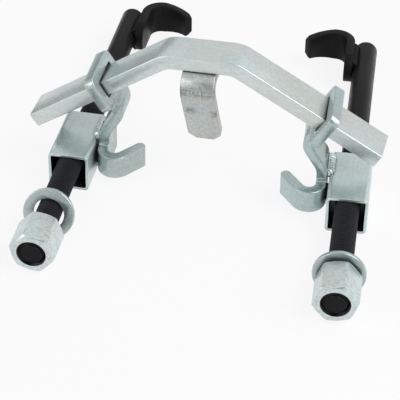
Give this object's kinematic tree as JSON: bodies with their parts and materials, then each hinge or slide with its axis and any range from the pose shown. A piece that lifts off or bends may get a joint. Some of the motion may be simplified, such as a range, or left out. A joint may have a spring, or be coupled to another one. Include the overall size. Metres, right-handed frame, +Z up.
{
  "type": "coil spring compressor",
  "caption": "Coil spring compressor: threaded spindles with black end hooks, long nuts and washers run through square slide tubes whose bent hook plates slide on a common bridge bar.",
  "frame": {"origin": "on the ground under the middle of the tool, at the middle of its bounding box", "axes": "+X across from the left spindle to the right one, +Y along the spindles from the nuts to the black end hooks, +Z up"},
  "size_m": [0.2432, 0.2886, 0.1055],
  "materials": {
    "zinc_bar": "bright zinc plate on flat bar, satin with faint blue tints at the bends",
    "zinc_plate": "bright zinc plate on bent plate, satin",
    "zinc_tube": "bright zinc plate on square tube, satin",
    "zinc_weld": "plated-over rippled weld bead",
    "zinc_hardware": "bright zinc plate on turned nut and stamped washer",
    "black_spindle": "black oxide, oiled, satin",
    "black_hook": "black oxide, satin",
    "black_weld": "blackened weld fillet"
  },
  "bodies": {
    "bridge": {"bridge_bar": "zinc_bar", "centre_hook": "zinc_bar", "centre_hook_weld": "zinc_weld"},
    "left_carriage": {"left_slide_tube": "zinc_tube", "left_hook_plate": "zinc_plate", "left_upper_weld": "zinc_weld", "left_lower_weld": "zinc_weld"},
    "left_washer": {"left_washer": "zinc_hardware"},
    "left_nut": {"left_nut": "zinc_hardware"},
    "left_spindle": {"left_spindle": "black_spindle", "left_end_hook": "black_hook", "left_end_hook_weld": "black_weld"},
    "right_carriage": {"right_slide_tube": "zinc_tube", "right_hook_plate": "zinc_plate", "right_upper_weld": "zinc_weld", "right_lower_weld": "zinc_weld"},
    "right_washer": {"right_washer": "zinc_hardware"},
    "right_nut": {"right_nut": "zinc_hardware"},
    "right_spindle": {"right_spindle": "black_spindle", "right_end_hook": "black_hook", "right_end_hook_weld": "black_weld"}
  },
  "joints": [
    {"name": "left_carriage_slide", "type": "slide", "parent": "bridge", "child": "left_carriage", "axis": [-0.8192, 0, -0.5736], "range_m": [-0.034, 0.048]},
    {"name": "left_washer_slide", "type": "slide", "parent": "left_carriage", "child": "left_washer", "axis": [-0.0523, 0.9986, 0], "range_m": [0, 0.04]},
    {"name": "left_nut_turn", "type": "hinge", "parent": "left_washer", "child": "left_nut", "pos_m": [-0.08487, -0.13064, 0.0167], "axis": [-0.0523, 0.9986, 0], "range_deg": [0, 18300]},
    {"name": "left_spindle_draw", "type": "slide", "parent": "left_washer", "child": "left_spindle", "axis": [0.0523, -0.9986, 0], "range_m": [0, 0.102]},
    {"name": "right_carriage_slide", "type": "slide", "parent": "bridge", "child": "right_carriage", "axis": [0.8746, 0, -0.4848], "range_m": [-0.038, 0.034]},
    {"name": "right_washer_slide", "type": "slide", "parent": "right_carriage", "child": "right_washer", "axis": [-0.1132, 0.9936, 0], "range_m": [0, 0.058]},
    {"name": "right_nut_turn", "type": "hinge", "parent": "right_washer", "child": "right_nut", "pos_m": [0.10556, -0.12707, 0.0167], "axis": [-0.1132, 0.9936, 0], "range_deg": [0, 18300]},
    {"name": "right_spindle_draw", "type": "slide", "parent": "right_washer", "child": "right_spindle", "axis": [0.1132, -0.9936, 0], "range_m": [0, 0.102]}
  ],
  "couplings": [
    {"joint": "left_spindle_draw", "follows": "left_nut_turn", "m_per_rad": 0.00031831},
    {"joint": "right_spindle_draw", "follows": "right_nut_turn", "m_per_rad": 0.00031831}
  ]
}
